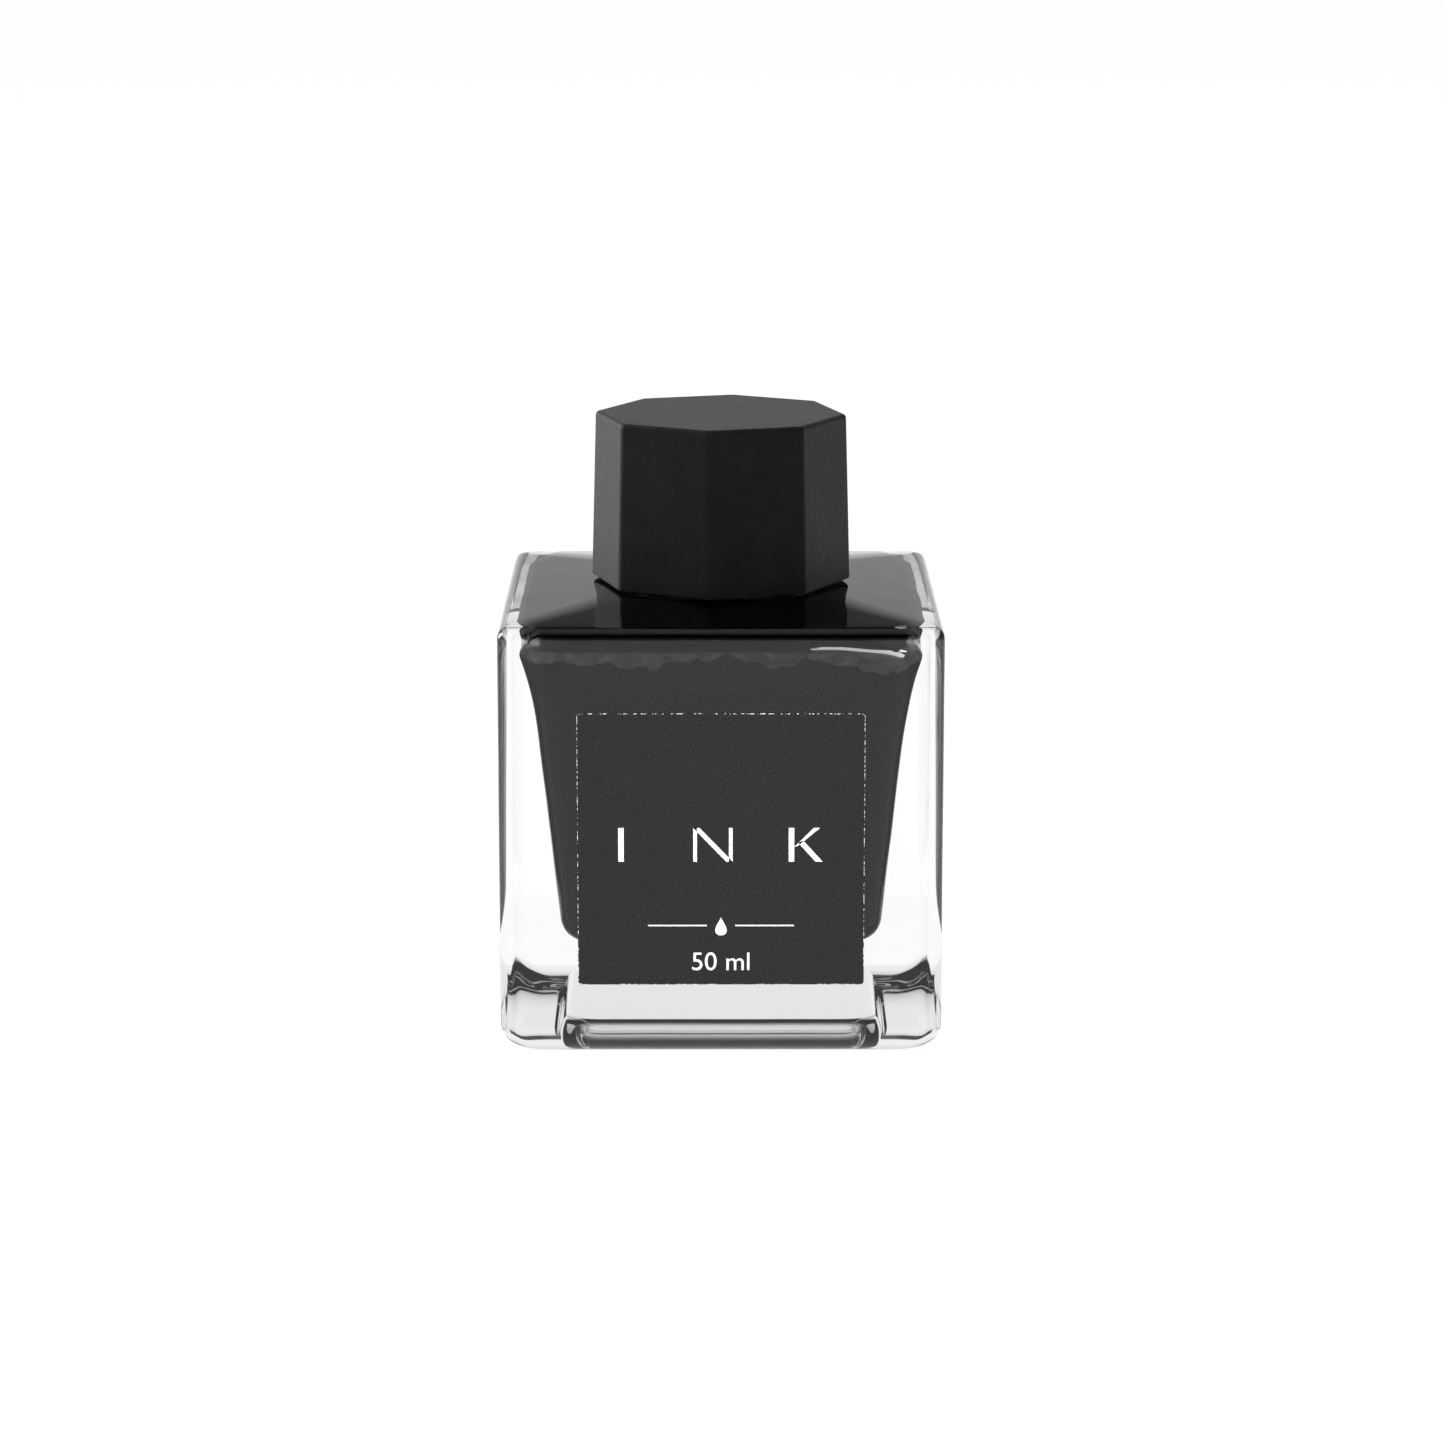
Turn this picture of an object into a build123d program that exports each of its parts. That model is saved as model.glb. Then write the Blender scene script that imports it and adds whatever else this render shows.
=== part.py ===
from build123d import *
import os

# Square glass ink bottle with a faceted screw cap. Millimetres, +Z up.
# The origin is the middle of the base, on the surface that the bottle stands on,
# and the label faces -Y.

# ---------------------------------------------------------------- driving sizes
body_width = 50.0  # square plan, flat to flat
rim_z = 49.3  # where the four flat sides would meet the shoulder if they were not rounded
side_edge_radius = 1.6  # the four upright edges
heel_radius = 3.6  # where the sides turn under
rim_radius = 1.4  # where the sides turn over into the shoulder
recess_depth = 3.0  # pushed-up underside, which leaves a ring to stand on
recess_half_low = 19.0
recess_half_high = 18.0
recess_corner_radius = 3.5
recess_edge_radius = 1.1

floor_z = 11.5  # thick moulded base below the ink
ceiling_z = 47.0  # underside of the shoulder at its outer edge
straight_z = 34.5  # below this the inner wall leans evenly, above it flares
hollow_half_low = 18.0  # inner half width at the floor
hollow_lean = 0.105  # half width gained per mm of height
hollow_flare = 0.007  # extra half width per square mm above straight_z
hollow_corner_radius = 5.5
hollow_floor_radius = 3.0
ink_level_z = 45.6  # a little over 50 ml

neck_radius = 9.8
neck_bore_radius = 6.7
neck_top_z = 64.6
shoulder_top_z = 50.55  # flat ledge round the neck, under the cap
shoulder_top_half = 13.5
shoulder_corner_radius = 3.0
bead_radius = 10.6  # ring below the thread, used to carry the hot bottle
bead_z = 53.2
bead_width = 1.6

thread_pitch = 3.175  # eight turns to the inch
glass_thread_turns = 1.5
cap_thread_turns = 1.25
thread_height = 1.1
thread_start_z = 57.4
thread_base_width = 2.0  # on the glass
thread_crest_width = 0.9
groove_base_width = 0.95  # on the cap's insert, which runs between the glass turns
groove_crest_width = 0.45
groove_rise = 0.3  # the closed cap pulls its thread up against the glass one
thread_sink = 0.15

cap_bottom_z = 50.8
cap_height = 19.2
cap_sides = 8
cap_bottom_circumradius = 15.1
cap_top_circumradius = 14.58
cap_angle = 39.4  # from +X round to an upright edge
cap_edge_radius = 1.0  # the upright edges
cap_rim_radius = 0.5
lid_thickness = 2.2
rib_count = 24
rib_width = 0.7

label_width = 32.2
label_height = 31.3
label_low_z = 8.6
label_thickness = 0.12
label_corner_radius = 0.4

running_gap = 0.3  # between the neck's thread and the cap's wall
press_gap = 0.02  # between pieces that are pushed together
ink_gap = 0.05  # between the ink and the glass

# --------------------------------------------------------------- derived sizes
half = body_width / 2
cap_top_z = cap_bottom_z + cap_height
insert_top_z = cap_top_z - lid_thickness - press_gap
insert_lid_thickness = 1.4
insert_underside_z = insert_top_z - insert_lid_thickness
insert_bottom_z = cap_bottom_z + 0.5
insert_bore_radius = neck_radius + thread_height + running_gap
insert_radius = insert_bore_radius + 1.0
shell_bore_radius = insert_radius + 0.35
liner_radius = insert_bore_radius - 0.15


def square(width, corner, height):
    """A square outline with round corners, lying flat at a height."""
    with BuildSketch(Plane.XY.offset(height)) as outline:
        RectangleRounded(width, width, corner)
    return outline.sketch


def hollow_half(height):
    """Half the width of the hollow at a height: an even lean, then a flare."""
    flare = max(0.0, height - straight_z)
    return hollow_half_low + hollow_lean * (height - floor_z) + hollow_flare * flare**2


def hollow(gap):
    """The space inside the glass up to the neck, drawn in by a gap on every side."""
    floor = floor_z + gap
    ceiling = ceiling_z - gap
    flared = [straight_z + (ceiling - straight_z) * step / 3 for step in range(4)]
    with BuildPart() as space:
        for heights in ([floor, straight_z], flared):
            for height in heights:
                add(square(2 * (hollow_half(height) - gap), hollow_corner_radius, height))
            loft()
        add(square(2 * (hollow_half(ceiling) - gap), hollow_corner_radius, ceiling))
        add(square(2 * neck_bore_radius + 2.0, neck_bore_radius, ceiling + 1.7))
        loft()
        fillet(space.edges().group_by(Axis.Z)[0], radius=hollow_floor_radius)
    return space.part


def thread_ridge(base_radius, crest_radius, base_width, crest_width, start_z, turns):
    """A helical ridge with sloping flanks, sunk a little into the wall behind it."""
    reach = crest_radius - base_radius
    out = 1 if reach > 0 else -1  # keeps the outline running the same way round
    with BuildPart() as ridge:
        with BuildLine() as path:
            Helix(thread_pitch, thread_pitch * turns, base_radius, (0, 0, start_z))
        with BuildSketch(Plane(path.line @ 0, x_dir=(1, 0, 0), z_dir=path.line % 0)):
            with BuildLine():
                Polyline(
                    (-out * thread_sink, -out * base_width / 2),
                    (0, -out * base_width / 2),
                    (reach, -out * crest_width / 2),
                    (reach, out * crest_width / 2),
                    (0, out * base_width / 2),
                    (-out * thread_sink, out * base_width / 2),
                    close=True,
                )
            make_face()
        sweep(path=path.line, is_frenet=True)
    return ridge.part


glass_thread = thread_ridge(
    neck_radius,
    neck_radius + thread_height,
    thread_base_width,
    thread_crest_width,
    thread_start_z,
    glass_thread_turns,
)
cap_thread = thread_ridge(
    insert_bore_radius,
    insert_bore_radius - thread_height,
    groove_base_width,
    groove_crest_width,
    thread_start_z - thread_pitch / 2 + groove_rise,
    cap_thread_turns,
)

# ---------------------------------------------------------------------- bottle
with BuildPart() as bottle:
    # Flat-sided body with a rounded heel.
    add(square(body_width, side_edge_radius, 0))
    extrude(amount=rim_z)
    fillet(bottle.edges().group_by(Axis.Z)[0], radius=heel_radius)

    # Shoulder: a low pyramid with soft ridges running from the corners to the neck.
    add(square(body_width, side_edge_radius, rim_z))
    add(square(2 * shoulder_top_half, shoulder_corner_radius, shoulder_top_z))
    loft()
    rim = bottle.edges().filter_by_position(Axis.Z, rim_z - 0.01, rim_z + 0.01)
    fillet(rim, radius=rim_radius)

    # Neck with its carrying bead.
    with BuildSketch(Plane.XY.offset(shoulder_top_z - 1.0)):
        Circle(neck_radius)
    extrude(amount=neck_top_z - shoulder_top_z + 1.0)
    with BuildSketch(Plane.XY.offset(bead_z)):
        Circle(bead_radius)
    extrude(amount=bead_width)
    bead = bottle.edges().filter_by(GeomType.CIRCLE)
    bead = bead.filter_by_position(Axis.Z, bead_z, bead_z + bead_width)
    fillet(bead.group_by(SortBy.RADIUS)[-1], radius=0.45 * bead_width)

    # Bore of the neck, with its lip rounded inside and out.
    with BuildSketch(Plane.XY.offset(ceiling_z)):
        Circle(neck_bore_radius)
    extrude(amount=neck_top_z - ceiling_z, mode=Mode.SUBTRACT)
    fillet(bottle.edges().group_by(Axis.Z)[-1], radius=0.6)
    smooth_neck = bottle.part.volume
    add(glass_thread)
    print(f"thread on the glass adds {bottle.part.volume - smooth_neck:.0f} cubic mm")

    # Hollow for the ink, and the pushed-up underside.
    add(hollow(0.0), mode=Mode.SUBTRACT)
    add(square(2 * recess_half_low, recess_corner_radius, 0))
    add(square(2 * recess_half_high, recess_corner_radius, recess_depth))
    loft(mode=Mode.SUBTRACT)
    recess_top = bottle.edges().filter_by_position(
        Axis.Z, recess_depth - 0.01, recess_depth + 0.01
    )
    fillet(recess_top, radius=recess_edge_radius)

# ------------------------------------------------------------------------- ink
with BuildPart() as ink:
    add(hollow(ink_gap))
    split(bisect_by=Plane.XY.offset(ink_level_z), keep=Keep.BOTTOM)

# ----------------------------------------------------------------- front label
with BuildPart() as front_label:
    with BuildSketch(Plane.XZ.offset(half)):
        with Locations((0, label_low_z + label_height / 2)):
            RectangleRounded(label_width, label_height, label_corner_radius)
    extrude(amount=label_thickness)

# ------------------------------------------------------------------- cap shell
with BuildPart() as cap_shell:
    sections = ((cap_bottom_z, cap_bottom_circumradius), (cap_top_z, cap_top_circumradius))
    for height, circumradius in sections:
        with BuildSketch(Plane.XY.offset(height)):
            RegularPolygon(circumradius, cap_sides, rotation=cap_angle)
    loft()
    lying = cap_shell.edges().filter_by(Plane.XY)
    standing = cap_shell.edges() - lying
    fillet(standing, radius=cap_edge_radius)
    fillet(cap_shell.edges().group_by(Axis.Z)[-1], radius=cap_rim_radius)
    fillet(cap_shell.edges().group_by(Axis.Z)[0], radius=cap_rim_radius / 2)
    with BuildSketch(Plane.XY.offset(cap_bottom_z)):
        Circle(shell_bore_radius)
    extrude(amount=cap_height - lid_thickness, mode=Mode.SUBTRACT)

    # Ribs inside the wall, which grip the insert.
    rib_inner = insert_radius + press_gap
    rib_depth = shell_bore_radius - rib_inner + 0.2
    with BuildSketch(Plane.XY.offset(insert_bottom_z + 1.0)):
        with PolarLocations(rib_inner + rib_depth / 2, rib_count):
            Rectangle(rib_depth, rib_width)
    extrude(until=Until.NEXT)

# ------------------------------------------------------------------ cap insert
with BuildPart() as cap_insert:
    with BuildSketch(Plane.XY.offset(insert_bottom_z)):
        Circle(insert_radius)
    extrude(amount=insert_top_z - insert_bottom_z)
    with BuildSketch(Plane.XY.offset(insert_bottom_z)):
        Circle(insert_bore_radius)
    extrude(amount=insert_underside_z - insert_bottom_z, mode=Mode.SUBTRACT)
    chamfer(cap_insert.edges().group_by(Axis.Z)[0], length=0.3)
    smooth_wall = cap_insert.part.volume
    add(cap_thread)

# --------------------------------------------------------------- sealing liner
with BuildPart() as sealing_liner:
    with BuildSketch(Plane.XY.offset(neck_top_z + press_gap)):
        Circle(liner_radius)
    extrude(amount=insert_underside_z - neck_top_z - 2 * press_gap)
    fillet(sealing_liner.edges().filter_by(GeomType.CIRCLE), radius=0.2)

# ------------------------------------------------------------------ write out
os.makedirs("parts", exist_ok=True)
pieces = {
    "bottle": bottle,
    "ink": ink,
    "front_label": front_label,
    "cap_shell": cap_shell,
    "cap_insert": cap_insert,
    "sealing_liner": sealing_liner,
}
for name, piece in pieces.items():
    piece.part.label = name
    export_step(piece.part, f"parts/{name}.step")

gross = hollow(0.0).volume / 1000
print(f"hollow {gross:.1f} ml, ink {ink.part.volume / 1000:.1f} ml")
print(f"thread in the cap adds {cap_insert.part.volume - smooth_wall:.0f} cubic mm")
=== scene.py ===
import math

import bmesh
import bpy
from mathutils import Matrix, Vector, noise


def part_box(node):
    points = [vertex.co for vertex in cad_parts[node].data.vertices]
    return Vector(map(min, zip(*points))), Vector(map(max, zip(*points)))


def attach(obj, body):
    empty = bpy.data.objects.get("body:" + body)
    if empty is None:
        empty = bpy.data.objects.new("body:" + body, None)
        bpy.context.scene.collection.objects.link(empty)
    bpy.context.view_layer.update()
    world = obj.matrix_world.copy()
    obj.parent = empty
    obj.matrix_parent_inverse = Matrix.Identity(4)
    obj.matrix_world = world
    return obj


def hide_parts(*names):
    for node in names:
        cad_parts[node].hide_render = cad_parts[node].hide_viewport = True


# Square glass ink bottle with a faceted screw cap. Blender units are metres; the
# shapes below are written in millimetres and scaled once, when a mesh is made.
MM = 0.001

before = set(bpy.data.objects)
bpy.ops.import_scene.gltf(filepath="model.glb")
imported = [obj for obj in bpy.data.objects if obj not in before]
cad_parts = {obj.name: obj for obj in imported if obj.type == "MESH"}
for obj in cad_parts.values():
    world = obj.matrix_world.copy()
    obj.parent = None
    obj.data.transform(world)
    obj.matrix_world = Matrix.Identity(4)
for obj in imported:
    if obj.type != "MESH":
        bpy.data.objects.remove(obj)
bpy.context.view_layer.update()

# ------------------------------------------------------------- sizes from the CAD
bottle_low, bottle_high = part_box("bottle")
label_low, label_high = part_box("front_label")
ink_low, ink_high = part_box("ink")
HALF = bottle_high.x / MM
NECK_TOP = bottle_high.z / MM
INK_GAP = 0.05  # the CAD's ink stands this far off the glass
FLOOR_Z = ink_low.z / MM - INK_GAP
LEVEL_Z = ink_high.z / MM

# Sizes that the boxes do not give, as in the CAD.
RIM_Z = 49.3
RIM_RADIUS = 1.4
EDGE_RADIUS = 1.6
HEEL_RADIUS = 3.6
RECESS_DEPTH = 3.0
RECESS_LOW = 19.0
RECESS_HIGH = 18.0
RECESS_CORNER = 3.5
RECESS_EDGE_RADIUS = 1.1
SHOULDER_Z = 50.55
SHOULDER_HALF = 13.5
NECK_RADIUS = 9.8
BORE_RADIUS = 6.7
BEAD_RADIUS = 10.6
BEAD_Z = 53.2
BEAD_WIDTH = 1.6
THREAD_PITCH = 3.175
THREAD_START_Z = 57.4
THREAD_TURNS = 1.5
THREAD_HEIGHT = 1.1
CEILING_Z = 47.0
CEILING_INNER_Z = 48.7
HOLLOW_CORNER = 5.5
HOLLOW_FLOOR_RADIUS = 3.0
STRAIGHT_Z = 34.5
HOLLOW_HALF_LOW = 18.0
HOLLOW_LEAN = 0.105
HOLLOW_FLARE = 0.007

# ------------------------------------------------------------------ ring outlines
SIDE_STEPS = 24
ARC_STEPS = 8


def side_fractions():
    """Places along a flat side, closer together near its two ends."""
    fractions = []
    for step in range(SIDE_STEPS + 1):
        t = -1 + 2 * step / SIDE_STEPS
        fractions.append(t * (1.18 - 0.18 * t * t))
    return fractions


FRACTIONS = side_fractions()


def outline(half, corner):
    """A square outline with round corners, as (x, y) points that start on the +X side."""
    points = []
    flat = half - corner
    for quarter in range(4):
        c = math.cos(quarter * math.pi / 2)
        s = math.sin(quarter * math.pi / 2)
        local = [(half, f * flat) for f in FRACTIONS]
        for step in range(1, ARC_STEPS):
            a = step / ARC_STEPS * math.pi / 2
            local.append((flat + corner * math.cos(a), flat + corner * math.sin(a)))
        points += [(x * c - y * s, x * s + y * c) for x, y in local]
    return points


ROUND_ANGLES = [math.atan2(y, x) for x, y in outline(1.0, 0.6)]


def square_ring(half, corner, z):
    return [Vector((x, y, z)) for x, y in outline(half, min(corner, half))]


def round_ring(radius, z):
    return [Vector((radius * math.cos(a), radius * math.sin(a), z)) for a in ROUND_ANGLES]


def arc(centre, radius, start, end, steps):
    """Points (distance out, height) on an arc in the upright section, both ends included."""
    out = []
    for step in range(steps + 1):
        a = math.radians(start + (end - start) * step / steps)
        out.append((centre[0] + radius * math.cos(a), centre[1] + radius * math.sin(a)))
    return out


def wave(x, y, z, size):
    """Smooth noise from -1 to 1 that changes over about `size` millimetres."""
    return noise.noise(Vector((x / size + 11.3, y / size - 4.7, z / size + 2.9)))


def smoothstep(low, high, value):
    t = min(1.0, max(0.0, (value - low) / (high - low)))
    return t * t * (3 - 2 * t)


# ------------------------------------------------------------------- mesh helpers
def new_object(name, mesh):
    obj = bpy.data.objects.new(name, mesh)
    bpy.context.scene.collection.objects.link(obj)
    return obj


def stacked_mesh(name, rings):
    """A closed skin through rings of equal length, with a point in the middle of each end."""
    bm = bmesh.new()
    rows = [[bm.verts.new(p * MM) for p in ring] for ring in rings]
    size = len(rows[0])
    for lower, upper in zip(rows, rows[1:]):
        for i in range(size):
            j = (i + 1) % size
            bm.faces.new((lower[i], lower[j], upper[j], upper[i]))
    for row, flip in ((rows[0], True), (rows[-1], False)):
        middle = sum((v.co for v in row), Vector()) / size
        pole = bm.verts.new(middle)
        for i in range(size):
            j = (i + 1) % size
            corner = (row[j], row[i], pole) if flip else (row[i], row[j], pole)
            bm.faces.new(corner)
    bmesh.ops.recalc_face_normals(bm, faces=bm.faces)
    for face in bm.faces:
        face.smooth = True
    mesh = bpy.data.meshes.new(name)
    bm.to_mesh(mesh)
    bm.free()
    return new_object(name, mesh)


def subdivide(obj):
    """One level of smoothing, the same on screen and in the render."""
    modifier = obj.modifiers.new("smooth", "SUBSURF")
    modifier.levels = 1
    modifier.render_levels = 1


# ------------------------------------------------------------------ glass sections
def hollow_half(z):
    """Half the width of the hollow at a height: an even lean, then a flare."""
    flare = max(0.0, z - STRAIGHT_Z)
    return HOLLOW_HALF_LOW + HOLLOW_LEAN * (z - FLOOR_Z) + HOLLOW_FLARE * flare**2


def thread_reach(angle, z):
    """How far the glass thread stands out of the neck at an angle and a height."""
    reach = 0.0
    for turn in range(2):
        swept = (angle % (2 * math.pi)) + 2 * math.pi * turn
        if swept > 2 * math.pi * THREAD_TURNS:
            continue
        start = smoothstep(0.0, 0.5, swept)
        end = smoothstep(0.0, 0.5, 2 * math.pi * THREAD_TURNS - swept)
        middle = THREAD_START_Z + THREAD_PITCH * swept / (2 * math.pi)
        off = abs(z - middle)
        reach = max(reach, start * end * (1 - smoothstep(0.35, 1.05, off)))
    return THREAD_HEIGHT * reach


def outer_wobble(p):
    """Pressed glass is never quite flat: the outside dips in by a few hundredths."""
    keep = smoothstep(0.5, 4.0, p.z) * (1 - smoothstep(50.2, 50.5, p.z))
    dip = 0.022 * (1 + wave(p.x, p.y, p.z, 9.0)) + 0.012 * (1 + wave(p.x, p.y, p.z, 3.1))
    flat = Vector((p.x, p.y, 0))
    biggest = max(abs(p.x), abs(p.y), 1e-6)
    pull = 1 - keep * dip / biggest
    drop = keep * 0.5 * dip * smoothstep(48.0, 49.5, p.z)
    return Vector((flat.x * pull, flat.y * pull, p.z - drop))


def inner_wobble(p):
    """The blown inside wanders more than the pressed outside, most of all near its ceiling."""
    biggest = max(abs(p.x), abs(p.y), 1e-6)
    near_top = smoothstep(38.0, 46.0, p.z)
    ripple = (0.07 + 0.12 * near_top) * wave(p.x + 40, p.y, p.z, 7.0)
    ripple += (0.02 + 0.12 * near_top) * wave(p.x, p.y + 60, p.z, 2.4)
    spread = smoothstep(8.0, 14.0, biggest)
    scale = 1 + spread * ripple / biggest
    # The ceiling hangs lower at the corners, and over a longer stretch on the right.
    outer = smoothstep(13.0, 20.5, biggest) * smoothstep(42.0, 46.0, p.z)
    sag = 0.5 * smoothstep(17.0, 22.0, -p.x) + 0.6 * smoothstep(10.0, 21.5, p.x)
    rise = spread * near_top * 0.14 * wave(p.x, p.y - 30, 0, 3.5)
    return Vector((p.x * scale, p.y * scale, p.z - outer * sag + rise))


def glass_outside():
    """Rings from the middle of the underside, round the heel and up to the lip."""
    rings = []
    for half in (1.0, 4.0, 8.0, 12.0, 14.5, 16.0):
        rings.append(square_ring(half, min(4.0, half), RECESS_DEPTH))
    lean = (RECESS_LOW - RECESS_HIGH) / RECESS_DEPTH
    edge = RECESS_EDGE_RADIUS
    for out, z in arc((RECESS_HIGH - edge + 0.2, RECESS_DEPTH - edge), edge, 86, 16, 8):
        rings.append(square_ring(out, RECESS_CORNER, z))
    for z in (1.6, 1.1, 0.7):
        rings.append(square_ring(RECESS_LOW - lean * z, RECESS_CORNER, z))
    for out, z in arc((RECESS_LOW + 0.45, 0.35), 0.35, 200, 262, 4):
        rings.append(square_ring(out, RECESS_CORNER, z))
    for half in (19.9, 20.5, 21.1):
        rings.append(square_ring(half, 3.0, 0.0))
    for out, z in arc((HALF - HEEL_RADIUS, HEEL_RADIUS), HEEL_RADIUS, -90, 0, 10):
        share = z / HEEL_RADIUS
        rings.append(square_ring(out, 2.8 + (EDGE_RADIUS - 2.8) * share, z))
    side_heights = [4.0, 4.8] + [6.2 + 2.1 * step for step in range(20)] + [47.2]
    for z in side_heights:
        rings.append(square_ring(HALF, EDGE_RADIUS, z))
    # The rim: from the upright side over into the slope of the shoulder.
    slope = math.atan2(SHOULDER_Z - RIM_Z, HALF - SHOULDER_HALF)
    reach = RIM_RADIUS * math.tan((math.pi / 2 - slope) / 2)
    centre = (HALF - RIM_RADIUS, RIM_Z - reach)
    for out, z in arc(centre, RIM_RADIUS, 0, 90 - math.degrees(slope), 8):
        rings.append(square_ring(out, EDGE_RADIUS, z))
    for step in range(1, 11):
        t = 0.06 + 0.94 * step / 10
        half = HALF + (SHOULDER_HALF - HALF) * t
        corner = EDGE_RADIUS + (3.0 - EDGE_RADIUS) * t
        rings.append(square_ring(half, corner, RIM_Z + (SHOULDER_Z - RIM_Z) * t))
    rings = [[outer_wobble(p) for p in ring] for ring in rings]
    # Ledge under the cap, then the neck.
    for half in (13.2, 12.0, 11.2):
        rings.append(square_ring(half, 0.75 * half, SHOULDER_Z))
    for out, z in arc((NECK_RADIUS + 0.5, SHOULDER_Z + 0.5), 0.5, 270, 180, 4):
        rings.append(round_ring(out, z))
    rings.append(round_ring(NECK_RADIUS, 52.4))
    bead_top = BEAD_Z + BEAD_WIDTH
    rings.append(round_ring(NECK_RADIUS, BEAD_Z - 0.1))
    rings.append(round_ring(NECK_RADIUS + 0.1, BEAD_Z))
    for out, z in arc((BEAD_RADIUS - 0.7, BEAD_Z + 0.75), 0.7, -75, 0, 4):
        rings.append(round_ring(out, z))
    for out, z in arc((BEAD_RADIUS - 0.7, bead_top - 0.75), 0.7, 0, 75, 4):
        rings.append(round_ring(out, z))
    rings.append(round_ring(NECK_RADIUS + 0.1, bead_top))
    rings.append(round_ring(NECK_RADIUS, bead_top + 0.1))
    low, high = 55.6, 63.4
    rows = 30
    for row in range(rows + 1):
        z = low + (high - low) * row / rows
        ring = []
        for a in ROUND_ANGLES:
            radius = NECK_RADIUS + thread_reach(a, z)
            ring.append(Vector((radius * math.cos(a), radius * math.sin(a), z)))
        rings.append(ring)
    for out, z in arc((NECK_RADIUS - 0.6, NECK_TOP - 0.6), 0.6, 0, 90, 5):
        rings.append(round_ring(out, z))
    return rings


def hollow_section():
    """The inner wall as (half width, corner radius, height), from the ceiling down to the floor."""
    section = []
    edge = 1.1
    top_half = hollow_half(CEILING_Z - edge)
    ceiling_drop = CEILING_INNER_Z - CEILING_Z
    inner = BORE_RADIUS + 1.0
    for step in range(9):
        t = step / 8 * 0.95
        half = inner + (top_half - inner) * t
        corner = BORE_RADIUS + (HOLLOW_CORNER - BORE_RADIUS) * t
        section.append((half, corner, CEILING_INNER_Z - ceiling_drop * t))
    for out, z in arc((top_half - edge, CEILING_Z - edge + 0.05), edge, 72, 0, 6):
        section.append((out, HOLLOW_CORNER, z))
    z = CEILING_Z - edge - 0.6
    while z > FLOOR_Z + HOLLOW_FLOOR_RADIUS + 0.4:
        section.append((hollow_half(z), HOLLOW_CORNER, z))
        z -= 1.6
    base_z = FLOOR_Z + HOLLOW_FLOOR_RADIUS
    base_half = hollow_half(base_z)
    for out, z in arc((base_half - 3.0, base_z), HOLLOW_FLOOR_RADIUS, 0, -84, 9):
        section.append((out, HOLLOW_CORNER - 0.12 * (base_half - out), z))
    for half in (14.0, 11.0, 8.0, 4.5, 1.5):
        section.append((half, min(4.5, half), FLOOR_Z))
    return section


def glass_inside():
    """Rings from the lip, down the bore and round the hollow to the middle of its floor."""
    rings = []
    for radius in (8.6, 7.9):
        rings.append(round_ring(radius, NECK_TOP))
    for out, z in arc((BORE_RADIUS + 0.6, NECK_TOP - 0.6), 0.6, 90, 180, 5):
        rings.append(round_ring(out, z))
    for z in (63.4, 60.0, 56.0, 52.5, 50.0):
        rings.append(round_ring(BORE_RADIUS, z))
    rings.append(round_ring(BORE_RADIUS + 0.15, 49.2))
    rings.append(round_ring(BORE_RADIUS + 0.5, 48.85))
    for half, corner, z in hollow_section():
        rings.append([inner_wobble(p) for p in square_ring(half, corner, z)])
    return rings


glass = stacked_mesh("glass_bottle", glass_outside() + glass_inside())
subdivide(glass)


# ----------------------------------------------------------------------------- ink
INK_SINK = 0.07  # the ink wets the glass, so its skin lies just inside the glass surface
FILM = 0.14  # ink that clings to the wall and the ceiling above the liquid


def dryness(p, z):
    """How far the ink has drawn away from the front edge of the ceiling, near the right corner."""
    if not 46.1 < z < CEILING_Z + 0.05:
        return 0.0
    along = smoothstep(8.5, 13.0, p.x) * (1 - smoothstep(19.8, 21.0, p.x))
    return 0.4 * along * smoothstep(15.0, 18.0, -p.y)


def ink_rings():
    """The liquid and the film above it: outside from the floor up, then back down inside."""
    wall = []
    for half, corner, z in hollow_section():
        if half > BORE_RADIUS + 3.2 or z < LEVEL_Z - 3:
            wall.append((half, corner, z))
    outside = []
    for half, corner, z in reversed(wall):
        ring = [inner_wobble(p) for p in square_ring(half, corner, z)]
        sunk = []
        for p in ring:
            biggest = max(abs(p.x), abs(p.y), 1e-6)
            grow = 1 + INK_SINK / biggest * smoothstep(2.0, 12.0, biggest)
            lift = INK_SINK - dryness(p, z) if z > CEILING_Z - 0.9 else 0.0
            drop = INK_SINK if z < FLOOR_Z + 1.5 else 0.0
            sunk.append(Vector((p.x * grow, p.y * grow, p.z + lift - drop)))
        outside.append(sunk)
    inside = []
    above = [row for row in wall if row[2] > LEVEL_Z + 0.3]
    for half, corner, z in above:
        ring = [inner_wobble(p) for p in square_ring(half, corner, z)]
        drawn = []
        for p in ring:
            biggest = max(abs(p.x), abs(p.y), 1e-6)
            shrink = 1 - FILM / biggest
            drawn.append(Vector((p.x * shrink, p.y * shrink, p.z - FILM - dryness(p, z))))
        inside.append(drawn)
    surface = []
    wall_half = hollow_half(LEVEL_Z)
    for inset, rise in ((0.25, 0.22), (0.6, 0.08), (1.1, 0.02), (2.0, 0.0)):
        surface.append(square_ring(wall_half - inset, HOLLOW_CORNER - inset, LEVEL_Z - 0.2 + rise))
    for half in (17.0, 12.0, 7.0, 2.0):
        surface.append(square_ring(half, min(4.0, half), LEVEL_Z - 0.2))
    return outside + inside + surface


ink = stacked_mesh("ink_fill", ink_rings())
subdivide(ink)


# --------------------------------------------------------------------------- label
LABEL_BACK = -label_high.y / MM  # distance of the sheet's two faces in front of the middle
LABEL_FRONT = -label_low.y / MM
PRINT_THICKNESS = 0.015
LABEL_CORNER = 0.4


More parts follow.
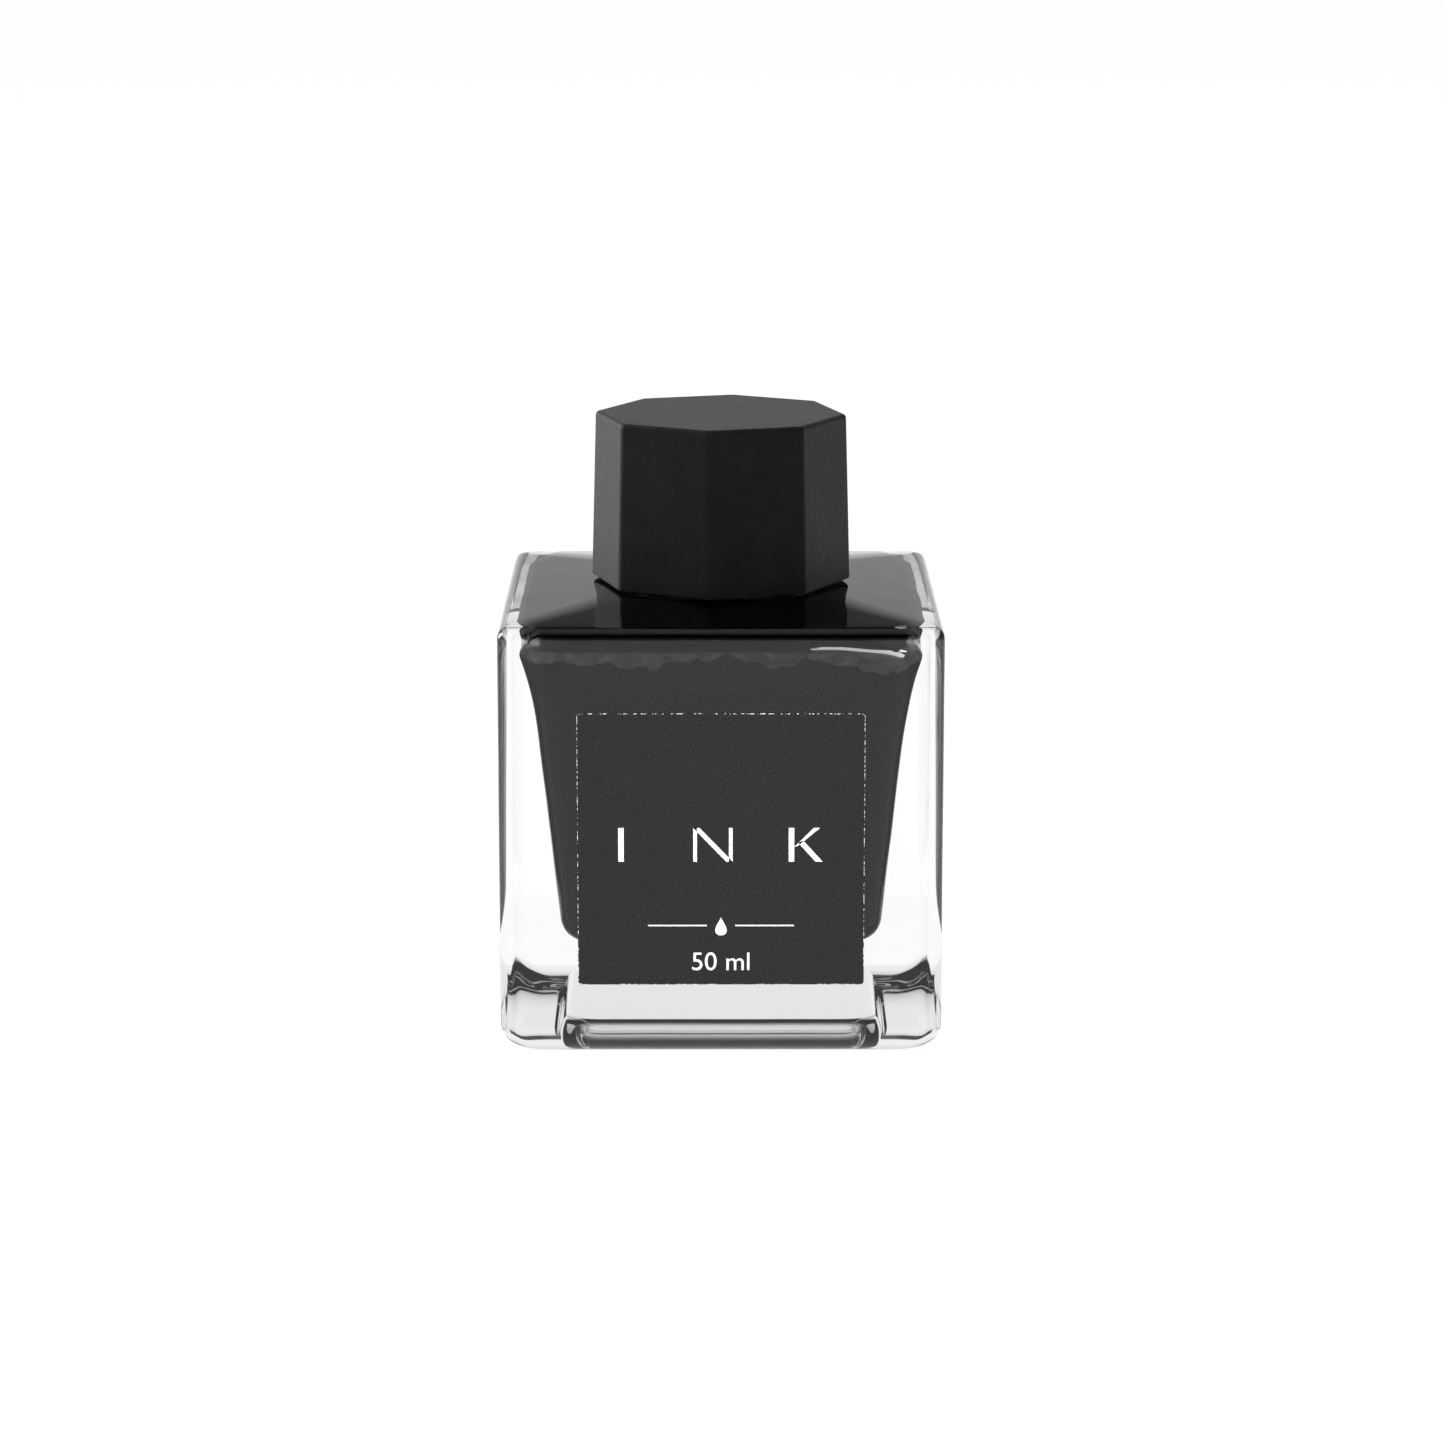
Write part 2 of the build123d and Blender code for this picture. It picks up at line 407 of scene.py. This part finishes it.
def rounded_rectangle(x0, x1, z0, z1, radius, steps=6):
    points = []
    corners = ((x1 - radius, z1 - radius, 0), (x0 + radius, z1 - radius, 90))
    corners += ((x0 + radius, z0 + radius, 180), (x1 - radius, z0 + radius, 270))
    for cx, cz, start in corners:
        for step in range(steps + 1):
            a = math.radians(start + 90 * step / steps)
            points.append((cx + radius * math.cos(a), cz + radius * math.sin(a)))
    return points


def label_sheet():
    """Die-cut paper: a flat face, a soft cut edge and a back that lies on the glass."""
    x0, x1 = label_low.x / MM, label_high.x / MM
    z0, z1 = label_low.z / MM, label_high.z / MM
    front = LABEL_FRONT - PRINT_THICKNESS
    layers = (  # how far each outline is drawn in, and how far out from the middle it lies
        (0.0, LABEL_BACK),
        (0.0, front - 0.04),
        (0.02, front - 0.012),
        (0.07, front),
        (0.5, front),
    )
    rings = []
    for inset, out in layers:
        shape = rounded_rectangle(x0 + inset, x1 - inset, z0 + inset, z1 - inset, LABEL_CORNER)
        rings.append([Vector((x, -out, z)) for x, z in shape])
    bm = bmesh.new()
    rows = [[bm.verts.new(p * MM) for p in ring] for ring in rings]
    for lower, upper in zip(rows, rows[1:]):
        for i in range(len(lower)):
            j = (i + 1) % len(lower)
            bm.faces.new((lower[i], lower[j], upper[j], upper[i]))
    bm.faces.new(list(reversed(rows[0])))
    bm.faces.new(rows[-1])
    bmesh.ops.recalc_face_normals(bm, faces=bm.faces)
    mesh = bpy.data.meshes.new("label_sheet")
    bm.to_mesh(mesh)
    bm.free()
    return new_object("label_sheet", mesh)


label = label_sheet()


# ----------------------------------------------------------------------- materials
class Nodes:
    """A short way to write a node tree."""

    def __init__(self, name):
        self.material = bpy.data.materials.new(name)
        self.material.use_nodes = True
        self.tree = self.material.node_tree
        self.shader = self.tree.nodes["Principled BSDF"]

    def add(self, kind):
        return self.tree.nodes.new(kind)

    def link(self, source, target):
        self.tree.links.new(source, target)

    def place(self, scale=1.0, turn=(0, 0, 0), stretch=(1, 1, 1)):
        """Object coordinates in millimetres divided by `scale`."""
        where = self.add("ShaderNodeTexCoord")
        mapping = self.add("ShaderNodeMapping")
        mapping.inputs["Rotation"].default_value = turn
        mapping.inputs["Scale"].default_value = [1000 / scale * s for s in stretch]
        self.link(where.outputs["Object"], mapping.inputs["Vector"])
        return mapping.outputs["Vector"]

    def noise(self, vector, detail=2.0, roughness=0.5):
        node = self.add("ShaderNodeTexNoise")
        node.inputs["Scale"].default_value = 1.0
        node.inputs["Detail"].default_value = detail
        node.inputs["Roughness"].default_value = roughness
        self.link(vector, node.inputs["Vector"])
        return node.outputs["Fac"]

    def ramp(self, value, stops):
        node = self.add("ShaderNodeValToRGB")
        points = node.color_ramp.elements
        while len(points) < len(stops):
            points.new(0.5)
        for point, (position, colour) in zip(points, stops):
            point.position = position
            point.color = (*colour, 1)
        self.link(value, node.inputs["Fac"])
        return node.outputs["Color"]

    def span(self, value, low, high, out_low, out_high, clamp=True):
        node = self.add("ShaderNodeMapRange")
        node.clamp = clamp
        ends = {"From Min": low, "From Max": high, "To Min": out_low, "To Max": out_high}
        for key, number in ends.items():
            node.inputs[key].default_value = number
        self.link(value, node.inputs["Value"])
        return node.outputs["Result"]

    def math(self, operation, a, b):
        node = self.add("ShaderNodeMath")
        node.operation = operation
        for slot, value in ((0, a), (1, b)):
            if isinstance(value, (int, float)):
                node.inputs[slot].default_value = value
            else:
                self.link(value, node.inputs[slot])
        return node.outputs["Value"]

    def blend(self, factor, a, b):
        node = self.add("ShaderNodeMix")
        node.data_type = "RGBA"
        self.link(factor, node.inputs["Factor"])
        for socket, value in ((node.inputs[6], a), (node.inputs[7], b)):
            if isinstance(value, tuple):
                socket.default_value = (*value, 1)
            else:
                self.link(value, socket)
        return node.outputs[2]

    def bump(self, height, distance, strength=1.0):
        node = self.add("ShaderNodeBump")
        node.inputs["Distance"].default_value = distance
        node.inputs["Strength"].default_value = strength
        self.link(height, node.inputs["Height"])
        self.link(node.outputs["Normal"], self.shader.inputs["Normal"])

    def set(self, **sockets):
        for key, value in sockets.items():
            self.shader.inputs[key.replace("_", " ")].default_value = value


def clear_glass():
    m = Nodes("clear_glass")
    cloud = m.noise(m.place(14.0), detail=1.0)
    tint = m.ramp(cloud, [(0.3, (0.920, 0.926, 0.923)), (0.7, (0.950, 0.955, 0.952))])
    m.link(tint, m.shader.inputs["Base Color"])
    m.set(Roughness=0.0, IOR=1.51, Transmission_Weight=1.0)
    return m.material


FILM_LOW_Z = 45.2  # where the film on the wall begins to show, before it wanders
FILM_TOP_Z = 46.3
RUN_DOWN_X = 11.0  # beyond this the film reaches lower
RUN_DOWN_SLOPE = 0.10


def black_ink():
    m = Nodes("black_ink")
    vector = m.place(1.0)
    split = m.add("ShaderNodeSeparateXYZ")
    m.link(vector, split.inputs["Vector"])
    edge = m.noise(m.place(4.0), detail=3.0, roughness=0.5)
    shift = m.span(edge, 0.3, 0.7, -0.9, 0.9, clamp=False)
    past = m.math("MAXIMUM", m.math("SUBTRACT", split.outputs["X"], RUN_DOWN_X), 0.0)
    wandering = m.math("ADD", split.outputs["Z"], shift)
    height = m.math("ADD", wandering, m.math("MULTIPLY", past, RUN_DOWN_SLOPE))
    # Ink that has run down the wall above the liquid is thinner, and looks paler.
    film = m.span(height, FILM_LOW_Z, FILM_LOW_Z + 0.3, 0.0, 1.0)
    wall = m.span(split.outputs["Z"], FILM_TOP_Z, FILM_TOP_Z + 0.3, 1.0, 0.0)
    mottle = m.noise(m.place(1.6), detail=3.0)
    film_colour = m.ramp(mottle, [(0.3, (0.03, 0.03, 0.03)), (0.7, (0.10, 0.10, 0.10))])
    colour = m.blend(m.math("MULTIPLY", film, wall), (0.0008, 0.0008, 0.0009), film_colour)
    m.link(colour, m.shader.inputs["Base Color"])
    m.set(Roughness=0.05, IOR=1.33, Specular_IOR_Level=0.05)
    return m.material


def label_paper():
    m = Nodes("label_paper")
    fleck = m.noise(m.place(0.16), detail=2.0, roughness=0.6)
    cloud = m.noise(m.place(5.0), detail=3.0)
    dark, middling, pale = (0.0105, 0.0100, 0.0092), (0.0155, 0.0145, 0.0132), (0.050, 0.047, 0.043)
    flecks = m.ramp(fleck, [(0.30, dark), (0.60, middling), (0.76, pale)])
    shade = m.ramp(cloud, [(0.3, (0.95, 0.95, 0.95)), (0.7, (1.04, 1.04, 1.03))])
    tint = m.add("ShaderNodeMix")
    tint.data_type = "RGBA"
    tint.blend_type = "MULTIPLY"
    tint.inputs["Factor"].default_value = 1.0
    m.link(flecks, tint.inputs[6])
    m.link(shade, tint.inputs[7])
    m.link(tint.outputs[2], m.shader.inputs["Base Color"])
    m.link(m.span(fleck, 0.3, 0.7, 0.75, 0.55), m.shader.inputs["Roughness"])
    m.bump(fleck, 0.00003, 0.6)
    m.set(Specular_IOR_Level=0.35)
    return m.material


def label_edge():
    m = Nodes("label_edge")
    nick = m.noise(m.place(0.32), detail=2.0, roughness=0.6)
    colour = m.ramp(nick, [(0.50, (0.02, 0.019, 0.018)), (0.58, (0.72, 0.71, 0.68))])
    m.link(colour, m.shader.inputs["Base Color"])
    m.set(Roughness=0.6)
    return m.material


def print_white():
    m = Nodes("print_white")
    wear = m.noise(m.place(0.25), detail=2.0)
    colour = m.ramp(wear, [(0.25, (0.74, 0.74, 0.72)), (0.6, (0.86, 0.86, 0.84))])
    m.link(colour, m.shader.inputs["Base Color"])
    m.set(Roughness=0.5)
    return m.material


def cap_plastic():
    m = Nodes("cap_plastic")
    # Fine leather-like creases that run on a slant, stronger in some places.
    slant = (math.radians(25), math.radians(38), math.radians(12))
    crease = m.noise(m.place(0.34, turn=slant, stretch=(1.0, 1.0, 0.33)), detail=3.0, roughness=0.6)
    pore = m.noise(m.place(0.16), detail=2.0)
    patch = m.noise(m.place(6.0), detail=1.0)
    strength = m.span(patch, 0.35, 0.65, 0.35, 1.0)
    relief = m.math("ADD", m.math("MULTIPLY", crease, strength), m.math("MULTIPLY", pore, 0.35))
    m.bump(relief, 0.00008, 0.8)
    colour = m.ramp(
        m.noise(m.place(3.0), detail=4.0),
        [(0.3, (0.0022, 0.0022, 0.0021)), (0.7, (0.0040, 0.0039, 0.0038))],
    )
    m.link(colour, m.shader.inputs["Base Color"])
    m.link(m.span(pore, 0.3, 0.7, 0.48, 0.60), m.shader.inputs["Roughness"])
    m.set(Specular_IOR_Level=0.14, Sheen_Weight=0.10, Sheen_Roughness=0.35)
    return m.material


def insert_plastic():
    m = Nodes("insert_plastic")
    flow = m.noise(m.place(2.0, stretch=(1, 1, 0.3)), detail=3.0)
    colour = m.ramp(flow, [(0.3, (0.016, 0.016, 0.017)), (0.7, (0.024, 0.024, 0.025))])
    m.link(colour, m.shader.inputs["Base Color"])
    m.link(m.span(flow, 0.3, 0.7, 0.32, 0.45), m.shader.inputs["Roughness"])
    m.bump(flow, 0.00002, 0.4)
    return m.material


def liner_foam():
    m = Nodes("liner_foam")
    cell = m.add("ShaderNodeTexVoronoi")
    cell.inputs["Scale"].default_value = 1.0
    m.link(m.place(0.35), cell.inputs["Vector"])
    colour = m.ramp(cell.outputs["Distance"], [(0.0, (0.78, 0.78, 0.76)), (0.6, (0.88, 0.88, 0.86))])
    m.link(colour, m.shader.inputs["Base Color"])
    m.bump(cell.outputs["Distance"], 0.00004, 0.5)
    m.set(Roughness=0.6)
    return m.material


def dress(obj, *materials):
    obj.data.materials.clear()
    for material in materials:
        obj.data.materials.append(material)


dress(glass, clear_glass())
dress(ink, black_ink())
dress(label, label_paper(), label_edge())
for face in label.data.polygons:
    side_on = abs(face.normal.y) < 0.995
    face.material_index = 1 if side_on else 0

# --------------------------------------------------------------------------- print
GLYPH_BASE = LABEL_FRONT - PRINT_THICKNESS
LABEL_MIDDLE = (label_low.x + label_high.x) / 2 / MM
CAPITALS_LOW = 22.9
CAPITALS_HIGH = 26.8
THICK_STROKE = 0.62
THIN_STROKE = 0.42
RULE_Z = 15.5
RULE_STROKE = 0.16
RULE_INNER = 1.6  # the rule leaves room for the drop in its middle
RULE_OUTER = 8.2
DROP_SIZE = 1.05
QUANTITY_Z = 10.3
QUANTITY_SIZE = 3.0


def printed(bm, points):
    """One closed patch of print, a shallow prism on the label's face."""
    back = [bm.verts.new(Vector((x, -GLYPH_BASE + 0.002, z)) * MM) for x, z in points]
    front = [bm.verts.new(Vector((x, -LABEL_FRONT, z)) * MM) for x, z in points]
    bm.faces.new(front)
    bm.faces.new(list(reversed(back)))
    for i in range(len(points)):
        j = (i + 1) % len(points)
        bm.faces.new((front[j], front[i], back[i], back[j]))


def stroke(start, end, width):
    """A straight stroke with square ends, as four corners."""
    (x0, z0), (x1, z1) = start, end
    length = math.hypot(x1 - x0, z1 - z0)
    nx, nz = -(z1 - z0) / length * width / 2, (x1 - x0) / length * width / 2
    return [(x0 + nx, z0 + nz), (x1 + nx, z1 + nz), (x1 - nx, z1 - nz), (x0 - nx, z0 - nz)]


def drop(cx, cz, size):
    """A plain ink drop: a round belly under a drawn-out point."""
    points = []
    for step in range(40):
        a = 2 * math.pi * step / 40
        out = size * math.sin(a / 2) ** 1.6
        points.append((cx + out * math.sin(a) * 0.9, cz + size * math.cos(a)))
    return points


def label_print():
    """Three plain capitals, widely spaced, over a rule with a drop in its middle."""
    bm = bmesh.new()
    base, top = CAPITALS_LOW, CAPITALS_HIGH
    left = LABEL_MIDDLE - 11.2
    printed(bm, stroke((left, base), (left, top), THICK_STROKE))
    left = LABEL_MIDDLE - 2.9
    right = LABEL_MIDDLE + 1.1
    printed(bm, stroke((left, base), (left, top), THIN_STROKE))
    printed(bm, stroke((right, base), (right, top), THIN_STROKE))
    printed(bm, [(left - 0.21, top), (left + 0.5, top), (right + 0.21, base), (right - 0.5, base)])
    left = LABEL_MIDDLE + 7.9
    printed(bm, stroke((left, base), (left, top), THICK_STROKE))
    printed(bm, [(left + 2.5, top), (left + 3.2, top), (left + 0.75, 24.75), (left + 0.31, 24.6)])
    printed(bm, [(left + 0.75, 25.1), (left + 1.3, 25.35), (left + 3.5, base), (left + 2.7, base)])
    for side in (-1, 1):
        near = (LABEL_MIDDLE + side * RULE_INNER, RULE_Z)
        far = (LABEL_MIDDLE + side * RULE_OUTER, RULE_Z)
        printed(bm, stroke(near, far, RULE_STROKE))
    printed(bm, drop(LABEL_MIDDLE, RULE_Z - 0.1, DROP_SIZE))
    bmesh.ops.recalc_face_normals(bm, faces=bm.faces)
    mesh = bpy.data.meshes.new("label_print")
    bm.to_mesh(mesh)
    bm.free()
    return new_object("label_print", mesh)


def quantity_print():
    """The contents, set in Blender's own plain typeface."""
    curve = bpy.data.curves.new("quantity", "FONT")
    curve.body = "50 ml"
    curve.size = QUANTITY_SIZE * MM
    curve.align_x = "CENTER"
    curve.extrude = PRINT_THICKNESS / 2 * MM
    text = new_object("quantity", curve)
    bpy.context.view_layer.update()
    mesh = bpy.data.meshes.new_from_object(text)
    mesh.name = "quantity_print"
    bpy.data.objects.remove(text)
    for vertex in mesh.vertices:
        x, z, out = vertex.co.x, vertex.co.y, vertex.co.z
        y = -(GLYPH_BASE + PRINT_THICKNESS / 2) * MM - out
        vertex.co = (LABEL_MIDDLE * MM + x, y, QUANTITY_Z * MM + z)
    return new_object("quantity_print", mesh)


lettering = label_print()
quantity = quantity_print()
white = print_white()
dress(lettering, white)
dress(quantity, white)

dress(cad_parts["cap_shell"], cap_plastic())
dress(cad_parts["cap_insert"], insert_plastic())
dress(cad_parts["sealing_liner"], liner_foam())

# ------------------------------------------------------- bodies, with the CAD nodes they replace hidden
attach(glass, "bottle")
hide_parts("bottle")
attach(ink, "bottle")
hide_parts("ink")
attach(label, "bottle")
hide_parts("front_label")
for piece in (lettering, quantity):
    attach(piece, "bottle")

# --------------------------------------------------------------------------- stage
scene = bpy.context.scene

FLOOR_REACH = 6.0  # metres, far enough back to fill the picture
FLOOR_DROP = 0.0001  # a hair below the foot, so that the two surfaces stay apart


def floor_sheet():
    bm = bmesh.new()
    reach = FLOOR_REACH
    corners = ((-reach, -reach), (reach, -reach), (reach, reach), (-reach, reach))
    bm.faces.new([bm.verts.new((x, y, 0.0)) for x, y in corners])
    mesh = bpy.data.meshes.new("floor")
    bm.to_mesh(mesh)
    bm.free()
    return new_object("floor", mesh)


def pale_floor():
    """White paper that glows evenly; inside the bottle's foot the glow is cut to a painted shade,
    darkest at the front.
    """
    m = Nodes("pale_floor")
    split = m.add("ShaderNodeSeparateXYZ")
    m.link(m.place(1.0), split.inputs["Vector"])
    across = m.math("ABSOLUTE", split.outputs["X"], 0.0)
    along = m.math("ABSOLUTE", split.outputs["Y"], 0.0)
    outside = m.span(m.math("MAXIMUM", across, along), RECESS_LOW - 0.5, RECESS_LOW + 1.5, 0.0, 1.0)
    # Painted shade under the foot: the glow falls from the back towards the front.
    painted_shade_ramp = m.span(split.outputs["Y"], -6.0, 8.0, 0.04, 0.95)
    glow = m.math("MAXIMUM", outside, painted_shade_ramp)
    m.link(m.math("MULTIPLY", glow, 0.98), m.shader.inputs["Emission Strength"])
    m.set(Base_Color=(0.03, 0.03, 0.03, 1), Roughness=0.9, Specular_IOR_Level=0.0)
    m.set(Emission_Color=(1, 1, 1, 1))
    return m.material


floor = floor_sheet()
floor.location.z = -FLOOR_DROP
dress(floor, pale_floor())


def studio_world():
    """Soft surroundings: bright low down at the back, darker overhead, in front and on the right."""
    world = bpy.data.worlds.new("studio")
    world.use_nodes = True
    tree = world.node_tree

    def node(kind, **settings):
        made = tree.nodes.new(kind)
        for key, value in settings.items():
            setattr(made, key, value)
        return made

    def span(value, low, high, out_low, out_high):
        made = node("ShaderNodeMapRange", interpolation_type="SMOOTHSTEP")
        ends = {"From Min": low, "From Max": high, "To Min": out_low, "To Max": out_high}
        for key, number in ends.items():
            made.inputs[key].default_value = number
        tree.links.new(value, made.inputs["Value"])
        return made.outputs["Result"]

    def combine(operation, a, b):
        made = node("ShaderNodeMath", operation=operation)
        tree.links.new(a, made.inputs[0])
        tree.links.new(b, made.inputs[1])
        return made.outputs["Value"]

    def times(a, b):
        return combine("MULTIPLY", a, b)

    def plus(a, b):
        return combine("ADD", a, b)

    where = node("ShaderNodeTexCoord")
    split = node("ShaderNodeSeparateXYZ")
    tree.links.new(where.outputs["Generated"], split.inputs["Vector"])
    rise = node("ShaderNodeValToRGB")
    stops = (  # height (the sine of the elevation) and brightness
        (0.0, 0.90),
        (0.10, 0.80),
        (0.19, 0.46),
        (0.26, 0.44),
        (0.33, 0.27),
        (0.44, 0.06),
        (0.65, 0.05),
    )
    while len(rise.color_ramp.elements) < len(stops):
        rise.color_ramp.elements.new(0.5)
    for element, (place, level) in zip(rise.color_ramp.elements, stops):
        element.position = place
        element.color = (level, level, level, 1)
    tree.links.new(split.outputs["Z"], rise.inputs["Fac"])
    height = rise.outputs["Color"]
    depth = span(split.outputs["Y"], -0.5, 0.5, 0.35, 1.0)
    side = span(split.outputs["X"], 0.15, 0.75, 1.0, 0.05)
    overhead = span(split.outputs["Z"], 0.75, 0.98, 0.0, 0.45)
    reflected = plus(times(times(height, depth), side), overhead)
    # Seen directly or through the glass, the surroundings are bright paper.
    paper = span(split.outputs["Z"], 0.0, 0.9, 0.95, 0.5)
    behind = times(paper, span(split.outputs["Y"], -0.9, 0.3, 0.45, 1.0))
    ray = node("ShaderNodeLightPath")
    chosen = node("ShaderNodeMix", data_type="FLOAT")
    direct = plus(ray.outputs["Is Camera Ray"], ray.outputs["Is Transmission Ray"])
    tree.links.new(direct, chosen.inputs[0])
    tree.links.new(reflected, chosen.inputs[2])
    tree.links.new(behind, chosen.inputs[3])
    strength = chosen.outputs[0]
    background = tree.nodes["Background"]
    background.inputs["Color"].default_value = (1, 1, 1, 1)
    tree.links.new(strength, background.inputs["Strength"])
    return world


scene.world = studio_world()
scene.view_settings.view_transform = "Standard"


def softbox(name, place, aim, size, power):
    light = bpy.data.lights.new(name, "AREA")
    light.shape = "RECTANGLE"
    light.size, light.size_y = size
    light.energy = power
    obj = new_object(name, light)
    obj.location = place
    direction = Vector(aim) - Vector(place)
    obj.rotation_euler = direction.to_track_quat("-Z", "Y").to_euler()
    return obj


# The lamps light the cap and the label. None shows through the glass, and the top
# and front ones are also kept out of its reflections.
top = softbox("top", (0.0, 0.2, 0.9), (0, 0.0, 0.03), (1.0, 1.0), 18.0)
fill = softbox("front_fill", (0.0, -1.0, 0.75), (0, 0, 0.03), (1.2, 0.7), 22.0)
left = softbox("left", (-0.8, 0.35, 0.35), (0, 0, 0.05), (0.5, 0.6), 10.0)
top.visible_glossy = False
fill.visible_glossy = False
for light in (top, fill, left):
    light.visible_transmission = False

# -------------------------------------------------------------------------- camera
camera = bpy.data.cameras.new("camera")
camera.lens = 110.0
camera.sensor_width = 36.0
eye = new_object("camera", camera)
eye.location = (-0.0007, -0.505, 0.1455)
eye.rotation_euler = (math.radians(90 - 12.525), 0, math.radians(-0.104))
camera.clip_start = 0.01
camera.clip_end = 50.0
scene.camera = eye
